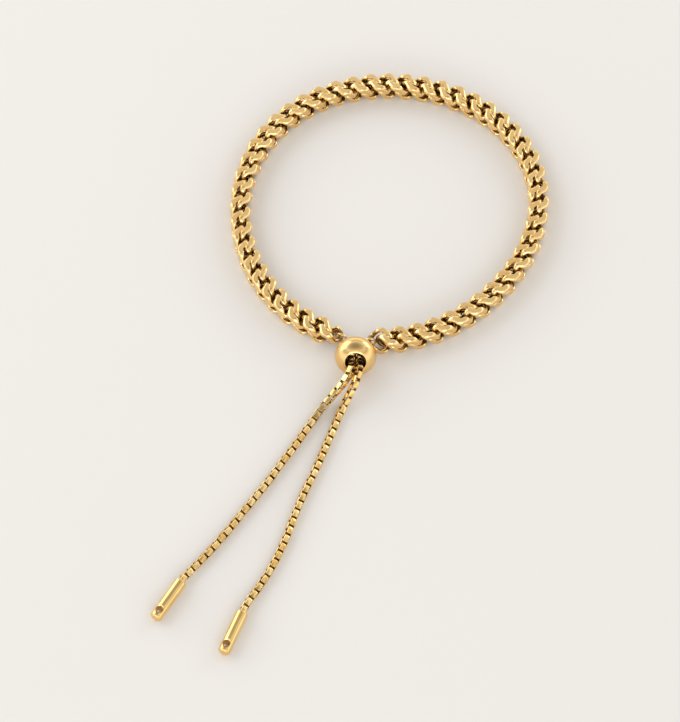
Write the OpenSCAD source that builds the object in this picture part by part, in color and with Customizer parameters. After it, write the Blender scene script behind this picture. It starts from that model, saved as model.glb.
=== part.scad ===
// Adjustable slider bracelet, lying flat: a square chain of interlocked rings,
// a polished slider bead, and two thin chain tails with drilled end caps.
// All sizes are millimetres. +Z is up and the bracelet rests on z = 0.

/* [Square chain] */
// Width and height of the square chain
chain_w = 3.9; // [3.8:0.05:4]
// Thickness of a ring's wire
wire_d = 0.92; // [0.84:0.02:0.92]
// How much wider than thick the wire is at a ring's lobes
wire_spread = 0.6; // [0.4:0.1:0.6]
// Half length of a ring's middle line
ring_reach = 2.45; // [2.44:0.01:2.45]
// How far a ring's lobes stand out from the chain's axis
ring_lobe = 2.38; // [2.34:0.02:2.38]
// Sideways bow of a ring's two ends, which makes it a V
ring_bow = 0.45; // [0.44:0.01:0.46]

/* [Loop on the surface] */
// Mean radius of the loop's middle line
loop_r = 29.6; // [29.5:0.05:29.8]
// How much the loop is longer than it is wide
loop_oval = 0.7; // [0.6:0.05:0.8]
// How much the loop leans to three sides
loop_lean = 0.5; // [0.4:0.05:0.6]

/* [Slider bead] */
// Diameter of the bead
bead_d = 8; // [7.9:0.05:8]
// Radius of the bead's rounded outside, seen in its cross-section
bead_round_r = 2.5; // [2.45:0.05:2.55]
// Diameter of the hole that both tails run through
bead_bore_d = 3.9; // [3.9:0.05:4]
// Rise of the hole's axis towards the tails, in degrees
bead_tilt = 30; // [29:1:31]

/* [Tails] */
// Width of the thin box chain
tail_d = 1.4; // [1.3:0.05:1.4]
// Wire of the two joining rings
joint_wire_d = 0.5; // [0.4:0.05:0.5]
// Diameter of the joining rings at the middle of their wire
joint_ring_d = 2.2; // [2.15:0.05:2.25]
// Length of an end cap
cap_len = 8.8; // [8.6:0.1:9]
// Diameter of an end cap
cap_d = 2.3; // [2.2:0.05:2.4]
// Diameter of the hole across an end cap
cap_hole_d = 1.45; // [1.3:0.05:1.5]

/* [Hidden] */
gold = [0.83, 0.62, 0.27];
pale_gold = [0.9, 0.74, 0.4];

// Places are measured from the bead's middle on the surface. The middle of the
// whole bracelet's box lies here, and everything is moved so that it is the origin.
box_middle = [0.25, 2.35, 0];

// Middle of the loop, and the directions of its length and of its lean
loop_middle = [6.5, 34.7];
oval_at = 53;
lean_at = 16;
// Rings in the whole chain, one for each half row
ring_count = 100;
// The first and last rings' places round the loop, going clockwise
first_ring_at = 247.8;
last_ring_at = -92.8;

// Ring mesh: stations round a ring, and sides of its wire
ring_stations = 14;
wire_sides = 5;
// The exponents that make a ring's outline slimmer than an ellipse
slimmer_ends = 1.48;
slimmer_lobes = 1.17;
bow_sharpness = 7;
// The part of its reach by which a wire has crossed from the corner to the middle
// of a face, and how late it starts to cross
crossed_at = 0.7;
crossing = 2.16;
half_w = chain_w / 2;
// How far from the chain's axis the middle line of a wire may lie, up and across
lobe_limit = half_w - 0.27;

function signed_pow(v, e) = sign(v) * pow(abs(v), e);
function unit(v) = v / norm(v);

// Loop: radius by angle, points on it, and the angle by the way gone round it
loop_step = 1;
loop_run_out = 8;
function loop_radius(a) =
    loop_r + loop_oval * cos(2 * (a - oval_at)) + loop_lean * cos(3 * (a - lean_at));
function loop_point(a) = loop_middle + loop_radius(a) * [cos(a), sin(a)];
function loop_outward(a) =
    let (d = loop_point(a - 0.5) - loop_point(a + 0.5))
    unit([-d[1], d[0]]);
loop_angles = [for (a = first_ring_at + loop_run_out; a >= last_ring_at - loop_run_out; a = a - loop_step) a];
loop_steps = [for (i = 0, s = 0; i < len(loop_angles); s = s + norm(loop_point(loop_angles[i])
    - loop_point(loop_angles[i] - loop_step)), i = i + 1) s];
angle_by_way = [for (i = [0:len(loop_angles) - 1]) [loop_steps[i], loop_angles[i]]];
first_way = loop_steps[loop_run_out];
last_way = loop_steps[len(loop_steps) - 1 - loop_run_out];
ring_pitch = (last_way - first_way) / (ring_count - 1);

// A point of the straight chain, as [along, outward, up], laid round the loop
function laid(p, way) =
    let (a = lookup(way + p[0], angle_by_way), c = loop_point(a) + p[1] * loop_outward(a))
    [c[0], c[1], p[2] + half_w];

// A ring's middle line: lobes on two opposite corners of the square, the ends
// turned a quarter against each other, and each end bowed to one side.
function squared(v) = v / pow(1 + pow(abs(v / lobe_limit), 8), 1 / 8);
function ring_line(t) =
    let (part = signed_pow(cos(t), slimmer_ends),
        out = ring_lobe * signed_pow(sin(t), slimmer_lobes),
        crossed = pow(min(abs(part) / crossed_at, 1), crossing),
        turn = 135 - 45 * sign(part) * sin(90 * crossed),
        front = pow(max(cos(t), 0), bow_sharpness),
        rear = pow(max(-cos(t), 0), bow_sharpness))
    [ring_reach * part, squared(ring_bow * front - out * cos(turn)),
        squared(out * sin(turn) - ring_bow * rear)];

// Four rings in a row are the same ring, each turned a quarter from the one behind
function quarter(p, k) =
    k % 4 == 0 ? p :
    k % 4 == 1 ? [p[0], -p[2], p[1]] :
    k % 4 == 2 ? [p[0], -p[1], -p[2]] :
    [p[0], p[2], -p[1]];

// The chain's four faces are ground flat, so no wire stands out of the square
function ground(p) =
    [p[0], max(-half_w, min(half_w, p[1])), max(-half_w, min(half_w, p[2]))];

// Wire round a station of a ring, one flat of the wire facing outward
function wire_section(t) =
    let (p = ring_line(t), along = unit(ring_line(t + 2) - ring_line(t - 2)),
        out = unit(p - (p * along) * along),
        side = (1 + wire_spread * pow(sin(t), 2)) * cross(along, out))
    [for (j = [0:wire_sides - 1])
        let (b = (j + 0.5) * 360 / wire_sides)
        ground(p + wire_d / 2 * (cos(b) * out + sin(b) * side))];
ring_shape = [for (i = [0:ring_stations - 1]) each wire_section((i + 0.5) * 360 / ring_stations)];

function corner(i, j) = (i % ring_stations) * wire_sides + j % wire_sides;
ring_faces = [for (i = [0:ring_stations - 1], j = [0:wire_sides - 1], half = [0, 1])
    half == 0 ? [corner(i, j), corner(i + 1, j), corner(i, j + 1)]
    : [corner(i + 1, j), corner(i + 1, j + 1), corner(i, j + 1)]];

module chain_ring(k) {
    way = first_way + k * ring_pitch;
    polyhedron([for (p = ring_shape) laid(quarter(p, k), way)], ring_faces);
}

module chain_part(first, last) {
    color(gold)
        placed()
            for (k = [first:last])
                chain_ring(k);
}

module placed() {
    translate(-box_middle)
        children();
}

// The slider bead: a drilled bead, rounded outside and shorter than it is wide,
// with bevelled rims. It rests on the surface with its hole's axis rising.
bore_r = bead_bore_d / 2;
round_middle = bead_d / 2 - bead_round_r;
bead_z = round_middle * cos(bead_tilt) + bead_round_r;
rim_bevel = 0.2;
rim_from_middle = 2.3;
module slider_bead_solid() {
    difference() {
        rotate_extrude($fn = 96)
            difference() {
                translate([round_middle, 0])
                    circle(r = bead_round_r, $fn = 64);
                translate([bore_r - 2 * bead_round_r, -2 * bead_round_r])
                    square([2 * bead_round_r, 4 * bead_round_r]);
            }
        for (side = [0, 1])
            mirror([0, 0, side])
                translate([0, 0, rim_from_middle])
                    cylinder(r1 = bore_r, r2 = bore_r + 2 * rim_bevel, h = 2 * rim_bevel, $fn = 96);
    }
}
module slider_bead() {
    color(gold)
        placed()
            translate([0, 0, bead_z])
                rotate([90 - bead_tilt, 0, 0])
                    slider_bead_solid();
}

// Joining rings: each stands upright through the square chain's end ring and
// holds the box chain's first link. It turns towards the bead's hole.
joint_turn_left = -22;
joint_turn_right = 184;
joint_past_end = 0.1;
module joining_ring(end, way, turn) {
    end_wire = laid([end * ring_reach, 0, -ring_bow], way);
    color(gold)
        placed()
            translate(end_wire)
                rotate([0, 0, turn])
                    translate([joint_past_end, 0, 0])
                        rotate([90, 0, 0])
                            rotate_extrude($fn = 48)
                                translate([joint_ring_d / 2, 0])
                                    circle(d = joint_wire_d, $fn = 24);
}

// Tails: the routes of the two box chains, from the joining ring through the
// bead and down to the surface, then to the end cap
tail_z = tail_d / 2;
route_left = [
    [-1.96, 4.21, 1.6],
    [-1.1, 2.9, 2],
    [-0.74, 1.98, 2.31],
    [-0.72, -0.4, 3.11],
    [-0.72, -2.6, 4.3],
    [-1.1, -3.9, 4.2],
    [-2.2, -5.5, 3.4],
    [-4.3, -7.6, 2],
    [-6.8, -10.5, 1],
    [-9.2, -14.1, tail_z],
    [-11.7, -18.1, tail_z],
    [-14.2, -21.9, tail_z],
    [-16.7, -25.8, tail_z],
    [-19.2, -29.3, tail_z],
    [-21.7, -32.8, tail_z],
    [-23.9, -35.9, tail_z],
    [-27, -39.9, tail_z],
    [-30.2, -43.7, 0.8],
    [-31.7, -45.6, 1.1],
    [-32.9, -47.6, 1.15]
];
route_right = [
    [1.3, 3.8, 1.6],
    [0.74, 1.98, 2.31],
    [0.72, -0.4, 3.11],
    [0.72, -2.6, 4.3],
    [0.5, -4, 4.2],
    [-0.1, -5.7, 3.4],
    [-1.1, -7.3, 2.2],
    [-2, -8.8, 1.2],
    [-3.1, -11.2, 0.8],
    [-4.1, -13.8, tail_z],
    [-5.5, -17.5, tail_z],
    [-6.8, -20.9, tail_z],
    [-8, -24, tail_z],
    [-9.4, -27.1, tail_z],
    [-10.5, -30, tail_z],
    [-11.6, -33, tail_z],
    [-13.2, -37.8, tail_z],
    [-15.4, -43, tail_z],
    [-17.8, -47.3, tail_z],
    [-19.1, -49.4, 0.9],
    [-20.3, -51.5, 1.1],
    [-21.4, -54, 1.15]
];
tail_sides = 8;
function along_route(route, i) =
    unit(route[min(i + 1, len(route) - 1)] - route[max(i - 1, 0)]);
function tail_section(route, i) =
    let (d = along_route(route, i), side = unit(cross(d, [0, 0, 1])), up = cross(side, d))
    [for (j = [0:tail_sides - 1])
        let (b = (j + 0.5) * 360 / tail_sides)
        route[i] + tail_d / 2 * (cos(b) * side + sin(b) * up)];
function tail_corner(i, j) = i * tail_sides + j % tail_sides;
module tail(route) {
    last = len(route) - 1;
    points = [for (i = [0:last]) each tail_section(route, i)];
    walls = [for (i = [0:last - 1], j = [0:tail_sides - 1])
        [tail_corner(i, j), tail_corner(i, j + 1), tail_corner(i + 1, j + 1), tail_corner(i + 1, j)]];
    near_end = [for (j = [tail_sides - 1:-1:0]) tail_corner(0, j)];
    far_end = [for (j = [0:tail_sides - 1]) tail_corner(last, j)];
    color(pale_gold)
        placed()
            polyhedron(points, concat([near_end, far_end], walls));
}

// End caps: a bar lying on the surface, bevelled at both ends, with a blind
// socket for the box chain and an upright hole near the free end. A place is
// [x, y, direction], where the chain goes in.
cap_left_at = [-32.3, -46.6, 238.2];
cap_right_at = [-20.9, -52.9, 247.5];
cap_bevel = 0.25;
cap_hole_from_end = 1.6;
cap_hole_bevel = 0.2;
socket_depth = 1.6;
socket_gap = 0.15;
module end_cap(place) {
    bar_r = cap_d / 2;
    color(gold)
        placed()
            translate([place[0], place[1], bar_r])
                rotate([0, 0, place[2]])
                    difference() {
                        rotate([0, 90, 0])
                            rotate_extrude($fn = 64)
                                polygon([[0, 0], [bar_r - cap_bevel, 0], [bar_r, cap_bevel],
                                    [bar_r, cap_len - cap_bevel], [bar_r - cap_bevel, cap_len],
                                    [0, cap_len]]);
                        rotate([0, 90, 0])
                            translate([0, 0, -1])
                                cylinder(d = tail_d + 2 * socket_gap, h = 1 + socket_depth, $fn = 48);
                        translate([cap_len - cap_hole_from_end, 0, -cap_d])
                            cylinder(d = cap_hole_d, h = 2 * cap_d, $fn = 48);
                        translate([cap_len - cap_hole_from_end, 0, bar_r - cap_hole_bevel])
                            cylinder(d1 = cap_hole_d, d2 = cap_hole_d + 4 * cap_hole_bevel,
                                h = 2 * cap_hole_bevel, $fn = 48);
                    }
}

half_count = floor(ring_count / 2);
module curb_chain_left() { chain_part(0, half_count - 1); }
module curb_chain_right() { chain_part(half_count, ring_count - 1); }
module joining_ring_left() { joining_ring(-1, first_way, joint_turn_left); }
module joining_ring_right() { joining_ring(1, last_way, joint_turn_right); }
module box_chain_left() { tail(route_left); }
module box_chain_right() { tail(route_right); }
module end_cap_left() { end_cap(cap_left_at); }
module end_cap_right() { end_cap(cap_right_at); }

curb_chain_left();
curb_chain_right();
slider_bead();
joining_ring_left();
joining_ring_right();
box_chain_left();
box_chain_right();
end_cap_left();
end_cap_right();
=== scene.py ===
"""Looks of the slider chain bracelet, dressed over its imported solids.

The square chain's rings, the box chains' links and the slider bead are built
here as finer meshes from arrays, in the places that the solids hold. The end
caps and the joining rings are the solids themselves with a better material.
The bracelet's lengths are millimetres, measured as in the part's source from
the slider bead's middle on the surface, and in_frame() turns them into the
model's metres. The floor and the lights are given in metres.
"""
import math

import bpy
import numpy as np
from mathutils import Matrix, Vector


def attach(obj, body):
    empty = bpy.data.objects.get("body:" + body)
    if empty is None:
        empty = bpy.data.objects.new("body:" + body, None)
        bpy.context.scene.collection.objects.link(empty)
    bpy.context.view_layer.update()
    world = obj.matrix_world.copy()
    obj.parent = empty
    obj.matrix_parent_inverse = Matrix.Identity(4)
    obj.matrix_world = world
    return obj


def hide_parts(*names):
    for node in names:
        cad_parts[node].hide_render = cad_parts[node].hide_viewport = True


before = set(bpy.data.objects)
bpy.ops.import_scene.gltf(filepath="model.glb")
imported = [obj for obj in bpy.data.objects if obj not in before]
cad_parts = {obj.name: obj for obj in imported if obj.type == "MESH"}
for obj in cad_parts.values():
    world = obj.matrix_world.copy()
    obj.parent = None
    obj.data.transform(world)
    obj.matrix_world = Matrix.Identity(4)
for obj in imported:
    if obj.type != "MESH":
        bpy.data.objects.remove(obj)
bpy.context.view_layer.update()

MM = 0.001
BOX_MIDDLE = np.array([0.25, 2.35, 0.0])  # the model's origin


def in_frame(points):
    """Points in the model's frame, in metres."""
    return (np.asarray(points, float) - BOX_MIDDLE) * MM


def unit(vectors):
    return vectors / np.linalg.norm(vectors, axis=-1, keepdims=True)


def signed_pow(values, exponent):
    return np.sign(values) * np.abs(values) ** exponent


def way_along(line):
    """How far along a line each of its points lies."""
    lengths = np.linalg.norm(np.diff(line, axis=0), axis=1)
    return np.concatenate([[0], np.cumsum(lengths)])


def line_at(s, way, line):
    """Where a line is, s along it. One place or an array of them."""
    return np.stack([np.interp(s, way, line[:, i]) for i in range(3)], -1)


# Materials. The noises' scales are per metre.

CLOUD_SCALE = 420  # the slow noise
CLOUD_DETAIL = 3
CLOUD_FROM, CLOUD_TO = 0.35, 0.7  # its values that count as 0 and 1
CLOUD_SHARE = 0.6  # how much of the deeper colour it brings
MARKS_SCALE = 2600  # the polishing marks
MARKS_DETAIL = 2
MARKS_TURN = (0.3, 0.2, 0.7)
MARKS_STRETCH = (1, 5, 3)
MARKS_STRENGTH = 0.03
MARKS_DEPTH = 0.0001


def gold_material(name, colour, roughness, shade_colour=(0.05, 0.025, 0.01),
                  recess_roughness=0.45, deep=(0.9, 0.82, 0.7), grain=0.06):
    """Polished gold with fine polishing marks.

    It paints shade: it takes the shade colour and the recess roughness where the
    mesh's painted-shade attribute is 1, and only that roughness where it is -1.
    Its colour is multiplied by deep where the tone-and-shade attribute is 1 and, in
    part, where a slow noise is high. That noise also adds up to grain to the
    roughness.
    """
    material = bpy.data.materials.new(name)
    material.use_nodes = True
    nodes, links = material.node_tree.nodes, material.node_tree.links
    shader = nodes["Principled BSDF"]
    shader.inputs["Metallic"].default_value = 1.0

    place = nodes.new("ShaderNodeTexCoord")
    shade_and_dullness = nodes.new("ShaderNodeAttribute")
    shade_and_dullness.attribute_name = "shade_and_dullness"
    tone_and_shade = nodes.new("ShaderNodeAttribute")
    tone_and_shade.attribute_name = "tone_and_shade"

    # The slow noise, as a share from 0 to 1
    cloud = nodes.new("ShaderNodeTexNoise")
    cloud.inputs["Scale"].default_value = CLOUD_SCALE
    cloud.inputs["Detail"].default_value = CLOUD_DETAIL
    links.new(place.outputs["Object"], cloud.inputs["Vector"])
    amount = nodes.new("ShaderNodeMapRange")
    amount.inputs["From Min"].default_value = CLOUD_FROM
    amount.inputs["From Max"].default_value = CLOUD_TO
    links.new(cloud.outputs["Fac"], amount.inputs["Value"])

    # Colour: deeper in places, and the painted shade colour in the recesses
    depth = nodes.new("ShaderNodeMath")
    depth.operation = "MULTIPLY_ADD"
    depth.use_clamp = True
    links.new(amount.outputs["Result"], depth.inputs[0])
    depth.inputs[1].default_value = CLOUD_SHARE
    links.new(tone_and_shade.outputs["Fac"], depth.inputs[2])
    deeper = nodes.new("ShaderNodeMix")
    deeper.data_type = "RGBA"
    deeper.inputs["A"].default_value = (*colour, 1)
    deeper.inputs["B"].default_value = (*(c * d for c, d in zip(colour, deep)), 1)
    links.new(depth.outputs["Value"], deeper.inputs["Factor"])
    shaded = nodes.new("ShaderNodeMix")
    shaded.data_type = "RGBA"
    shaded.inputs["B"].default_value = (*shade_colour, 1)
    links.new(deeper.outputs["Result"], shaded.inputs["A"])
    links.new(shade_and_dullness.outputs["Fac"], shaded.inputs["Factor"])
    links.new(shaded.outputs["Result"], shader.inputs["Base Color"])

    # Roughness: duller in the recesses, on ground faces and where the noise is high
    off_polish = nodes.new("ShaderNodeMath")
    off_polish.operation = "ABSOLUTE"
    links.new(shade_and_dullness.outputs["Fac"], off_polish.inputs[0])
    rough = nodes.new("ShaderNodeMapRange")
    rough.inputs["To Min"].default_value = roughness
    rough.inputs["To Max"].default_value = recess_roughness
    links.new(off_polish.outputs["Value"], rough.inputs["Value"])
    uneven = nodes.new("ShaderNodeMath")
    uneven.operation = "MULTIPLY_ADD"
    links.new(amount.outputs["Result"], uneven.inputs[0])
    uneven.inputs[1].default_value = grain
    links.new(rough.outputs["Result"], uneven.inputs[2])
    links.new(uneven.outputs["Value"], shader.inputs["Roughness"])

    # Bump: the marks left by polishing
    stretch = nodes.new("ShaderNodeMapping")
    stretch.inputs["Rotation"].default_value = MARKS_TURN
    stretch.inputs["Scale"].default_value = MARKS_STRETCH
    links.new(place.outputs["Object"], stretch.inputs["Vector"])
    marks = nodes.new("ShaderNodeTexNoise")
    marks.inputs["Scale"].default_value = MARKS_SCALE
    marks.inputs["Detail"].default_value = MARKS_DETAIL
    links.new(stretch.outputs["Vector"], marks.inputs["Vector"])
    bump = nodes.new("ShaderNodeBump")
    bump.inputs["Strength"].default_value = MARKS_STRENGTH
    bump.inputs["Distance"].default_value = MARKS_DEPTH
    links.new(marks.outputs["Fac"], bump.inputs["Height"])
    links.new(bump.outputs["Normal"], shader.inputs["Normal"])
    return material


# Each material's shade colour is painted shade, laid in the chains' recesses and inside
# the bead's bore.
CHAIN_GOLD = gold_material("chain_gold", colour=(1, 0.76, 0.38), roughness=0.09,
                           shade_colour=(0.3, 0.19, 0.085), recess_roughness=0.3,
                           deep=(0.92, 0.83, 0.7))
BEAD_GOLD = gold_material("bead_gold", colour=(0.89, 0.61, 0.26), roughness=0.14,
                          grain=0.05)
CAP_GOLD = gold_material("cap_gold", colour=(0.93, 0.66, 0.27), roughness=0.04,
                         grain=0.03)
LINK_GOLD = gold_material("box_chain_gold", colour=(1, 0.75, 0.345), roughness=0.12,
                          shade_colour=(0.18, 0.09, 0.025), deep=(0.84, 0.72, 0.52))


# Meshes

SHARP_ANGLE = math.radians(24)


def add_mesh(name, points, faces, material, shade_and_dullness, tone_and_shade, replaces):
    """A mesh piece from arrays, in place of its CAD node."""
    mesh = bpy.data.meshes.new(name)
    mesh.from_pydata(in_frame(points).tolist(), [], faces.tolist())
    mesh.materials.append(material)
    for attribute, values in (("shade_and_dullness", shade_and_dullness), ("tone_and_shade", tone_and_shade)):
        layer = mesh.attributes.new(attribute, "FLOAT", "POINT")
        each = np.broadcast_to(values, len(points)).astype(np.float32)
        layer.data.foreach_set("value", each)
    mesh.shade_smooth()
    mesh.set_sharp_from_angle(angle=SHARP_ANGLE)
    piece = bpy.data.objects.new(name, mesh)
    bpy.context.scene.collection.objects.link(piece)
    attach(piece, "root")
    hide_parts(replaces)


def ring_faces(stations, sides):
    """Quads of one closed ring of closed sections, wound to face outward."""
    i, j = np.meshgrid(np.arange(stations), np.arange(sides), indexing="ij")
    here, on = i * sides, (i + 1) % stations * sides
    j_on = (j + 1) % sides
    return np.stack([here + j, here + j_on, on + j_on, on + j], -1).reshape(-1, 4)


def repeated(faces, count, points_each):
    """A shape's faces on each of its copies, whose points follow one another."""
    first_points = np.arange(count) * points_each
    return (faces[None] + first_points[:, None, None]).reshape(-1, 4)


# The loop that the square chain follows. Angles are degrees round its middle, and
# they fall from the first ring, left of the bead, to the last one, right of it.

LOOP_MIDDLE = np.array([6.5, 34.7])
LOOP_R = 29.6
LOOP_OVAL, LOOP_OVAL_AT = 0.7, math.radians(53)  # longer along this direction
LOOP_EGG, LOOP_EGG_AT = 0.5, math.radians(16)  # and slightly three-cornered
FIRST_RING_AT, LAST_RING_AT = 247.8, -92.8
OVERRUN = 8  # how far the curve goes on past the first and the last ring
ANGLE_STEP = 0.5
RING_COUNT = 100


def loop_radius(degrees):
    a = np.radians(degrees)
    oval = LOOP_OVAL * np.cos(2 * (a - LOOP_OVAL_AT))
    egg = LOOP_EGG * np.cos(3 * (a - LOOP_EGG_AT))
    return LOOP_R + oval + egg


def loop_point(degrees):
    a = np.radians(degrees)
    outward = np.stack([np.cos(a), np.sin(a)], -1)
    return LOOP_MIDDLE + loop_radius(degrees)[..., None] * outward


ANGLES = np.arange(FIRST_RING_AT + OVERRUN, LAST_RING_AT - OVERRUN, -ANGLE_STEP)
LOOP_WAY = way_along(loop_point(ANGLES))
FIRST_WAY = np.interp(-FIRST_RING_AT, -ANGLES, LOOP_WAY)
LAST_WAY = np.interp(-LAST_RING_AT, -ANGLES, LOOP_WAY)
RING_PITCH = (LAST_WAY - FIRST_WAY) / (RING_COUNT - 1)


# The square chain's rings

HALF_W = 1.95  # half the width of the chain, from its middle to a ground face
RING_REACH = 2.45  # half a ring's length, to the wire's middle
RING_LOBE = 2.38  # how far the lobes reach from the chain's middle
LOBE_TURN, LOBE_SWING = 135, 45  # the lobes' direction and how far the halves turn
LOBE_LIMIT = 1.68  # the middle line stays inside this square
SQUARENESS = 8  # how sharp that square's corners are
RING_BOW = 0.45  # how far a ring's two ends bow out
BOW_SHARPNESS = 7
SLIMMER_ENDS = 1.48  # exponents of the outline, 1 for an ellipse
SLIMMER_LOBES = 1.17
CROSSED_AT = 0.7  # the share of the reach at which a half has turned fully
CROSSING = 2.16  # and how late it does so
WIRE_D = 0.93
WIRE_SPREAD = 0.65  # how much wider the wire is at the lobes
WIRE_ROUNDNESS = 0.85  # 1 for a round section, less for a squarer one
WIRE_SIDES = 24
RING_STATIONS = 76
FINE_STEPS = 720
BEND_EASE = 0.2  # the length along the wire over which bends are eased
SHADE_FROM, SHADE_DEPTH = 1.5, 0.6  # painted shade, darker from here towards the chain's middle
GROUND = -1  # the painted-shade attribute's value on the ground faces, which are only duller
GROUND_TONE = 0.7
RING_TONES = (-0.15, 0.35)
RING_SEED = 11


def laid(points, way):
    """Points of the straight chain, [along, outward, up], laid round the loop."""
    angle = np.interp(way + points[..., 0], LOOP_WAY, ANGLES)
    forward = unit(loop_point(angle - ANGLE_STEP) - loop_point(angle + ANGLE_STEP))
    outward = np.stack([-forward[..., 1], forward[..., 0]], -1)
    flat = loop_point(angle) + points[..., 1:2] * outward
    return np.concatenate([flat, points[..., 2:3] + HALF_W], -1)


def squared(values):
    """Keeps a ring's middle line inside the chain's square."""
    past = np.abs(values / LOBE_LIMIT) ** SQUARENESS
    return values / (1 + past) ** (1 / SQUARENESS)


def ring_line(t):
    """A ring's middle line, with lobes at two opposite corners of the square.
    From them its front half turns upright and its rear half turns flat."""
    part = signed_pow(np.cos(t), SLIMMER_ENDS)
    out = RING_LOBE * signed_pow(np.sin(t), SLIMMER_LOBES)
    crossed = np.clip(np.abs(part) / CROSSED_AT, 0, 1) ** CROSSING
    swing = LOBE_SWING * np.sign(part) * np.sin(np.pi / 2 * crossed)
    turn = np.radians(LOBE_TURN - swing)
    front = np.maximum(np.cos(t), 0) ** BOW_SHARPNESS
    rear = np.maximum(-np.cos(t), 0) ** BOW_SHARPNESS
    across = RING_BOW * front - out * np.cos(turn)
    up = out * np.sin(turn) - RING_BOW * rear
    return np.stack([RING_REACH * part, squared(across), squared(up)], -1)


def eased_line():
    """A ring's middle line at even steps with its bends eased, and how near each
    place is to a lobe."""
    t = np.linspace(0, 2 * np.pi, FINE_STEPS + 1)
    line = ring_line(t)
    way = way_along(line)
    even = (np.arange(RING_STATIONS) + 0.5) * way[-1] / RING_STATIONS
    points = line_at(even, way, line)
    lobe = np.interp(even, way, np.sin(t) ** 2)
    wave = np.fft.fftfreq(RING_STATIONS, way[-1] / RING_STATIONS)
    keep = np.exp(-2 * (np.pi * wave * BEND_EASE) ** 2)
    return np.fft.ifft(np.fft.fft(points, axis=0) * keep[:, None], axis=0).real, lobe


def wire_ring():
    """One ring's points, before the chain's four faces are ground."""
    middle, lobe = eased_line()
    along = unit(np.roll(middle, -1, axis=0) - np.roll(middle, 1, axis=0))
    out = unit(middle - (middle * along).sum(-1, keepdims=True) * along)
    side = np.cross(along, out) * (1 + WIRE_SPREAD * lobe)[:, None]
    b = (np.arange(WIRE_SIDES) + 0.5) * 2 * np.pi / WIRE_SIDES
    outward = signed_pow(np.cos(b), WIRE_ROUNDNESS)[None, :, None] * out[:, None]
    sideways = signed_pow(np.sin(b), WIRE_ROUNDNESS)[None, :, None] * side[:, None]
    return (middle[:, None] + WIRE_D / 2 * (outward + sideways)).reshape(-1, 3)


def quarter(p, k):
    """The same ring, turned a quarter from the one behind it."""
    x, y, z = p[:, 0], p[:, 1], p[:, 2]
    return np.stack([(x, y, z), (x, -z, y), (x, -y, -z), (x, z, -y)][k % 4], -1)


def curb_chain(name, first, last):
    """The square chain's rings from the first up to the last, ground flat."""
    shape = wire_ring()
    points, shade_and_dullness, tone_and_shade = [], [], []
    variety = np.random.default_rng(RING_SEED).uniform(*RING_TONES, RING_COUNT)
    for k in range(first, last):
        ring = quarter(shape, k)
        reach = np.abs(ring[:, 1:]).max(1)
        # Painted shade: the wire gets darker where it lies deep towards the chain's
        # middle.
        deep_shade = np.clip((SHADE_FROM - reach) / SHADE_DEPTH, 0, 1)
        shade_and_dullness.append(np.where(reach > HALF_W, GROUND, deep_shade))
        tone_and_shade.append(variety[k] + np.where(reach > HALF_W, GROUND_TONE, 0))
        ring[:, 1:] = np.clip(ring[:, 1:], -HALF_W, HALF_W)
        points.append(laid(ring, FIRST_WAY + k * RING_PITCH))
    faces = repeated(ring_faces(RING_STATIONS, WIRE_SIDES), last - first, len(shape))
    add_mesh(name, np.concatenate(points), faces, CHAIN_GOLD,
             np.concatenate(shade_and_dullness), np.concatenate(tone_and_shade), name.replace("_rings", ""))


curb_chain("curb_chain_left_rings", 0, RING_COUNT // 2)
curb_chain("curb_chain_right_rings", RING_COUNT // 2, RING_COUNT)


# The box chains. Their routes run from the joining rings through the bead into the
# end caps. The rolls are pairs of a way along the route and the links' roll there,
# in degrees, where 0 lays every second link's plates level.

TAIL_Z = 0.7  # where the chains' middle lies while they rest on the surface
ROUTE_LEFT = [
    (-1.96, 4.21, 1.6), (-1.1, 2.9, 2), (-0.74, 1.98, 2.31), (-0.72, -0.4, 3.11),
    (-0.72, -2.6, 4.3), (-1.1, -3.9, 4.2), (-2.2, -5.5, 3.4), (-4.3, -7.6, 2),
    (-6.8, -10.5, 1), (-9.2, -14.1, TAIL_Z), (-11.7, -18.1, TAIL_Z),
    (-14.2, -21.9, TAIL_Z), (-16.7, -25.8, TAIL_Z), (-19.2, -29.3, TAIL_Z),
    (-21.7, -32.8, TAIL_Z), (-23.9, -35.9, TAIL_Z), (-27, -39.9, TAIL_Z),
    (-30.2, -43.7, 0.8), (-31.7, -45.6, 1.1), (-32.9, -47.6, 1.15)]
ROUTE_RIGHT = [
    (1.3, 3.8, 1.6), (0.74, 1.98, 2.31), (0.72, -0.4, 3.11), (0.72, -2.6, 4.3),
    (0.5, -4, 4.2), (-0.1, -5.7, 3.4), (-1.1, -7.3, 2.2), (-2, -8.8, 1.2),
    (-3.1, -11.2, 0.8), (-4.1, -13.8, TAIL_Z), (-5.5, -17.5, TAIL_Z),
    (-6.8, -20.9, TAIL_Z), (-8, -24, TAIL_Z), (-9.4, -27.1, TAIL_Z),
    (-10.5, -30, TAIL_Z), (-11.6, -33, TAIL_Z), (-13.2, -37.8, TAIL_Z),
    (-15.4, -43, TAIL_Z), (-17.8, -47.3, TAIL_Z), (-19.1, -49.4, 0.9),
    (-20.3, -51.5, 1.1), (-21.4, -54, 1.15)]
ROUTE_STEP = 0.05
CURVE_STEPS = 24
ROLLS_LEFT = [(0, 0), (9, 20), (12, 20), (22, -28), (80, -30)]
ROLLS_RIGHT = [(0, -10), (6, -20), (9, -45), (14, -45), (22, -25), (80, -25)]
ROLL_VARIETY = 7
SEED_LEFT, SEED_RIGHT = 3, 4
SHADE_SEED_OFFSET = 20

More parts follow.
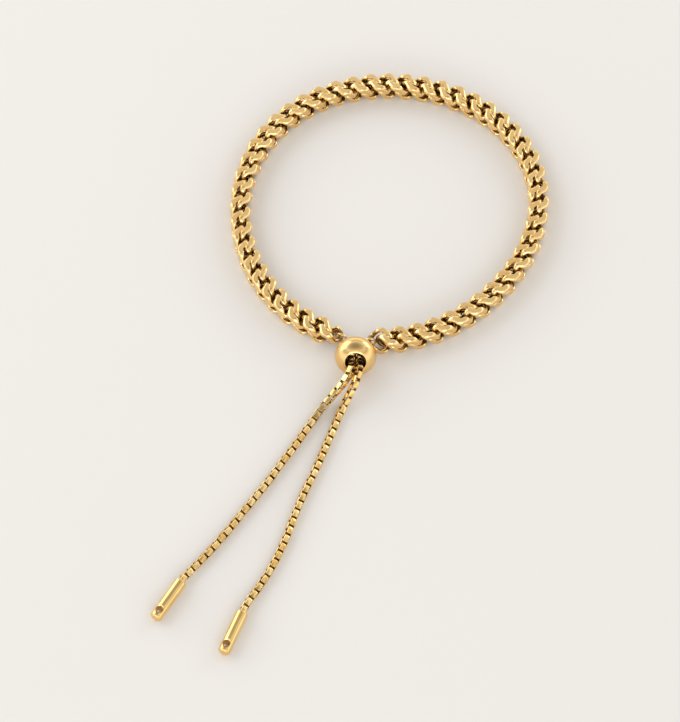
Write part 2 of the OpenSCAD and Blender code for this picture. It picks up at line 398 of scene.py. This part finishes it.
LINK_PITCH = 0.925
LINK_LENGTH = 1.41
LINK_W = 1.36
PLATE_W = 0.98
PLATE_T = 0.17
END_BAR_T = 0.22
CORNER_R = 0.15
CORNER_STEPS = 4
INNER_R = 0.05
EDGE_BEVEL = 0.05
PLATE_BOW = 0.03  # at the middle of each side's length
CROWN = 1.2  # the band's middle across its width, in thicknesses
CROWN_SIDE_AT, CROWN_SIDE = 0.22, 1.16
INSIDE_SHADE, SHADE_FALL = 1.15, 1.6  # painted shade: dark inside, less so towards the outside
END_SHADE, END_MARGIN = 0.7, 0.02  # painted shade on the outer ends too
LINK_SHADES = (0.65, 1.1)  # the range of the painted shade's darkness, link by link
LINK_TONES = (-0.7, 0.8)
PLATE_SHADE = 0.6  # painted shade, deeper at the middle of a plate
LENGTH_SHADE = 0.6  # and painted shade, deeper towards one end of a link


def smooth_route(route):
    """A curve through the route's points, at even steps."""
    p = np.asarray(route, float)
    p = np.concatenate([[2 * p[0] - p[1]], p, [2 * p[-1] - p[-2]]])
    u = np.linspace(0, 1, CURVE_STEPS, endpoint=False)[:, None]
    pieces = []
    for a, b, c, d in zip(p[:-3], p[1:-2], p[2:-1], p[3:]):
        pieces.append(0.5 * (2 * b + (c - a) * u + (2 * a - 5 * b + 4 * c - d) * u ** 2
                             + (3 * b - a - 3 * c + d) * u ** 3))
    line = np.concatenate(pieces + [p[-2:-1]])
    way = way_along(line)
    even = np.arange(0, way[-1], ROUTE_STEP)
    return even, line_at(even, way, line)


def box_outline(half, radius, bow):
    """A rounded box in X and Z, each of its sides bowed out at the middle."""
    points = []
    for cx, cz, start in ((1, 1, 0), (-1, 1, 90), (-1, -1, 180), (1, -1, 270)):
        for step in range(CORNER_STEPS + 1):
            a = math.radians(start + step * 90 / CORNER_STEPS)
            points.append((cx * (half[0] - radius) + radius * math.cos(a), 0,
                           cz * (half[1] - radius) + radius * math.sin(a)))
        nx, nz = round(math.cos(a)), round(math.sin(a))
        points.append((nx * (half[0] + bow), 0, nz * (half[1] + bow)))
    return np.array(points)


def box_link():
    """One link about its middle: a closed band, wide in Y, round a box in X and Z.
    It gives the points, their painted shade and the faces. The section's numbers are the
    place across the band and the depth, 0 on its inside and 1 on its outside."""
    half = np.array([LINK_W, LINK_LENGTH]) / 2
    outside = box_outline(half, CORNER_R, PLATE_BOW)
    inside = box_outline(half - (PLATE_T, END_BAR_T), INNER_R, 0)
    w, c, f = PLATE_W / 2, EDGE_BEVEL, EDGE_BEVEL / PLATE_T
    section = np.array([
        (-w + c, 0), (-w, f), (-w, 1 - f), (-w + c, 1),
        (-CROWN_SIDE_AT, CROWN_SIDE), (0, CROWN), (CROWN_SIDE_AT, CROWN_SIDE),
        (w - c, 1), (w, 1 - f), (w, f), (w - c, 0)])
    depth = section[None, :, 1, None]
    points = ((1 - depth) * inside[:, None] + depth * outside[:, None]
              + section[None, :, 0, None] * np.array([0, 1, 0]))
    # Painted shade: dark on the band's inside, fading towards its outside, and on its
    # outer ends.
    inner_shade = np.clip(INSIDE_SHADE - SHADE_FALL * section[None, :, 1], 0, 1)
    shade_at_end = END_SHADE * (np.abs(points[..., 2]) > half[1] - END_MARGIN)
    return (points.reshape(-1, 3), np.maximum(inner_shade, shade_at_end).reshape(-1),
            ring_faces(len(outside), len(section)))


def box_chain(name, route, rolls, seed):
    """Links along a route from its far end, every second one turned a quarter. A
    link that would dip below the surface is lifted onto it."""
    way, line = smooth_route(route)
    ahead = unit(np.gradient(line, axis=0))
    link, inner_shade, faces = box_link()
    count = int((way[-1] - LINK_LENGTH) / LINK_PITCH) + 1
    chance = np.random.default_rng(seed)
    shade = np.random.default_rng(seed + SHADE_SEED_OFFSET).uniform(*LINK_SHADES, count)
    points, shade_and_dullness, tone_and_shade = [], [], []
    for k in range(count):
        s = way[-1] - LINK_LENGTH / 2 - k * LINK_PITCH
        z = unit(line_at(s, way, ahead))
        x = unit(np.cross(z, (0, 0, 1)))
        y = np.cross(z, x)
        roll = math.radians(np.interp(s, *zip(*rolls)) + 90 * (k % 2)
                            + chance.uniform(-ROLL_VARIETY, ROLL_VARIETY))
        axes = np.stack([math.cos(roll) * x + math.sin(roll) * y,
                         math.cos(roll) * y - math.sin(roll) * x, z])
        placed = line_at(s, way, line) + link @ axes
        placed[:, 2] += max(0, -placed[:, 2].min())
        points.append(placed)
        shade_and_dullness.append(inner_shade * shade[k])
        # Tone differs at random from link to link; painted shade makes it deeper at a
        # plate's middle and towards one end of the link.
        on_plate = 1 - np.abs(link[:, 1]) / (PLATE_W / 2)
        tone_and_shade.append(chance.uniform(*LINK_TONES) + PLATE_SHADE * on_plate
                    + LENGTH_SHADE * link[:, 2] / LINK_LENGTH)
    add_mesh(name, np.concatenate(points), repeated(faces, count, len(link)), LINK_GOLD,
             np.concatenate(shade_and_dullness), np.concatenate(tone_and_shade),
             name.replace("_links", ""))


box_chain("box_chain_left_links", ROUTE_LEFT, ROLLS_LEFT, SEED_LEFT)
box_chain("box_chain_right_links", ROUTE_RIGHT, ROLLS_RIGHT, SEED_RIGHT)


# The slider bead, the end caps and the joining rings

BEAD_D = 8
BEAD_ROUND_R = 2.5  # of the round outside, seen in the cross-section
BEAD_ROUND_AT = BEAD_D / 2 - BEAD_ROUND_R
BEAD_BORE_R = 1.95
BEAD_RIM_R = 0.16
BEAD_BORE_INSET = 0.25  # where the straight bore begins, below the rim
BEAD_SHADE = 0.1  # the painted shade in the bore fades out within this distance of the bore's wall
BEAD_TILT = math.radians(30)
BEAD_Z = BEAD_ROUND_AT * math.cos(BEAD_TILT) + BEAD_ROUND_R
BEAD_SIDES = 128
BEAD_ROUND_POINTS = 49
BEAD_BORE_POINTS = 12
RIM_ANGLES = [70, 50, 30, 10]
CAP_SHARP_ANGLE = math.radians(30)


def slider_bead():
    """The bead turned from its cross-section, with softened rims."""
    start = math.acos((BEAD_BORE_R + BEAD_RIM_R - BEAD_ROUND_AT) / BEAD_ROUND_R)
    a = np.linspace(-start, start, BEAD_ROUND_POINTS)
    r = BEAD_ROUND_AT + BEAD_ROUND_R * np.cos(a)
    h = BEAD_ROUND_R * np.sin(a)
    rim = h[-1]
    bend = np.radians(RIM_ANGLES)
    rim_r = BEAD_BORE_R + BEAD_RIM_R - BEAD_RIM_R * np.cos(bend)
    rim_h = rim - BEAD_RIM_R + BEAD_RIM_R * np.sin(bend)
    bore_end = rim - BEAD_BORE_INSET
    bore_h = np.linspace(bore_end, -bore_end, BEAD_BORE_POINTS)
    bore_r = np.full(BEAD_BORE_POINTS, BEAD_BORE_R)
    r = np.concatenate([r, rim_r, bore_r, rim_r[::-1]])
    h = np.concatenate([h, rim_h, bore_h, -rim_h[::-1]])

    turn = np.linspace(0, 2 * np.pi, BEAD_SIDES, endpoint=False)[:, None]
    heights = np.broadcast_to(h, (BEAD_SIDES, len(h)))
    p = np.stack([r * np.cos(turn), r * np.sin(turn), heights], -1).reshape(-1, 3)
    tilt = np.pi / 2 - BEAD_TILT
    p = np.stack([p[:, 0],
                  p[:, 1] * math.cos(tilt) - p[:, 2] * math.sin(tilt),
                  p[:, 1] * math.sin(tilt) + p[:, 2] * math.cos(tilt) + BEAD_Z], -1)
    # Painted shade inside the bore.
    inside = np.clip((BEAD_BORE_R + BEAD_SHADE - r) / BEAD_SHADE, 0, 1)
    add_mesh("slider_bead_turned", p, ring_faces(BEAD_SIDES, len(r)), BEAD_GOLD,
             np.tile(inside, BEAD_SIDES), 0.0, "slider_bead")


slider_bead()

for name in ("joining_ring_left", "joining_ring_right", "end_cap_left", "end_cap_right"):
    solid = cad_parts[name]
    for material_slot in solid.material_slots:
        material_slot.material = CAP_GOLD
    solid.data.shade_smooth()
    solid.data.set_sharp_from_angle(angle=CAP_SHARP_ANGLE)


# Floor, light and camera

FLOOR_HALF = 1.5
FLOOR_COLOUR = (0.83, 0.81, 0.785)
FLOOR_ROUGHNESS = 0.8
SKY_BELOW = (0.95, 0.93, 0.90)
SKY_STOPS = ((0.3, 1.0), (0.55, 0.5), (0.74, 0.74), (0.88, 0.42))  # height, level
SKY_TINT = (1, 0.98, 0.95)
SKY_TOP = (0.26, 0.255, 0.25)
SKY_STRENGTH = 1.34
SOFTBOXES = (  # name, place, size, watts
    ("left_window", (-0.56, 0.32, 0.39), (0.80, 0.50), 1.75),
    ("right_window", (0.58, 0.41, 0.32), (0.44, 0.34), 0.75),
    ("front_window", (0, -0.66, 0.36), (0.5, 0.2), 0.8))
LOOK_DOWN = math.radians(60)
CAMERA_DISTANCE = 600
AIM_HEIGHT = 4.0
PICTURE_W = 680  # pixels
PX_PER_MM = 5.225
AIM_LEFT_PX, AIM_DOWN_PX = 15.5, 5.5  # how far the view is moved from the bead
FOCAL_PX = 3135  # the focal length, CAMERA_DISTANCE times PX_PER_MM
SENSOR_W = 36
CLIP_START, CLIP_END = 0.01, 10  # metres


def floor():
    """A wide pale surface under the bracelet."""
    material = bpy.data.materials.new("pale_floor")
    material.use_nodes = True
    shader = material.node_tree.nodes["Principled BSDF"]
    shader.inputs["Base Color"].default_value = (*FLOOR_COLOUR, 1)
    shader.inputs["Roughness"].default_value = FLOOR_ROUGHNESS
    mesh = bpy.data.meshes.new("floor")
    corners = [(x * FLOOR_HALF, y * FLOOR_HALF, 0)
               for x, y in ((-1, -1), (1, -1), (1, 1), (-1, 1))]
    mesh.from_pydata(corners, [], [(0, 1, 2, 3)])
    mesh.materials.append(material)
    piece = bpy.data.objects.new("floor", mesh)
    bpy.context.scene.collection.objects.link(piece)


def sky():
    """A world whose light changes with the height above the horizon, from 0 to 1."""
    world = bpy.data.worlds.new("studio")
    bpy.context.scene.world = world
    world.use_nodes = True
    nodes, links = world.node_tree.nodes, world.node_tree.links
    way = nodes.new("ShaderNodeTexCoord")
    parts = nodes.new("ShaderNodeSeparateXYZ")
    ramp = nodes.new("ShaderNodeValToRGB")
    links.new(way.outputs["Generated"], parts.inputs["Vector"])
    links.new(parts.outputs["Z"], ramp.inputs["Fac"])
    ramp.color_ramp.interpolation = "EASE"
    ramp.color_ramp.elements[0].color = (*SKY_BELOW, 1)
    ramp.color_ramp.elements[1].color = (*SKY_TOP, 1)
    for height, level in SKY_STOPS:
        stop = ramp.color_ramp.elements.new(height)
        stop.color = (*(level * tint for tint in SKY_TINT), 1)
    links.new(ramp.outputs["Color"], nodes["Background"].inputs["Color"])
    nodes["Background"].inputs["Strength"].default_value = SKY_STRENGTH


def softbox(name, place, size, power):
    """A rectangular light that faces the model's origin."""
    light = bpy.data.lights.new(name, "AREA")
    light.shape = "RECTANGLE"
    light.size, light.size_y = size
    light.energy = power
    lamp = bpy.data.objects.new(name, light)
    lamp.location = place
    aim = Vector((0, 0, 0)) - Vector(place)
    lamp.rotation_euler = aim.to_track_quat("-Z", "Y").to_euler()
    bpy.context.scene.collection.objects.link(lamp)


def camera():
    """The photograph's viewpoint."""
    ahead = np.array([0, math.cos(LOOK_DOWN), -math.sin(LOOK_DOWN)])
    up = np.array([0, math.sin(LOOK_DOWN), math.cos(LOOK_DOWN)])
    right = np.array([1.0, 0, 0])
    place = (np.array([0, 0, AIM_HEIGHT]) - CAMERA_DISTANCE * ahead
             - AIM_LEFT_PX / PX_PER_MM * right - AIM_DOWN_PX / PX_PER_MM * up)
    lens = bpy.data.cameras.new("camera")
    lens.sensor_fit = "HORIZONTAL"
    lens.sensor_width = SENSOR_W
    lens.lens = SENSOR_W * FOCAL_PX / PICTURE_W
    lens.clip_start, lens.clip_end = CLIP_START, CLIP_END
    view = bpy.data.objects.new("camera", lens)
    turn = Matrix((right, up, -ahead)).transposed().to_4x4()
    view.matrix_world = Matrix.Translation(Vector(in_frame(place))) @ turn
    bpy.context.scene.collection.objects.link(view)
    bpy.context.scene.camera = view


floor()
sky()
for settings in SOFTBOXES:
    softbox(*settings)
camera()
bpy.context.scene.view_settings.view_transform = "Standard"
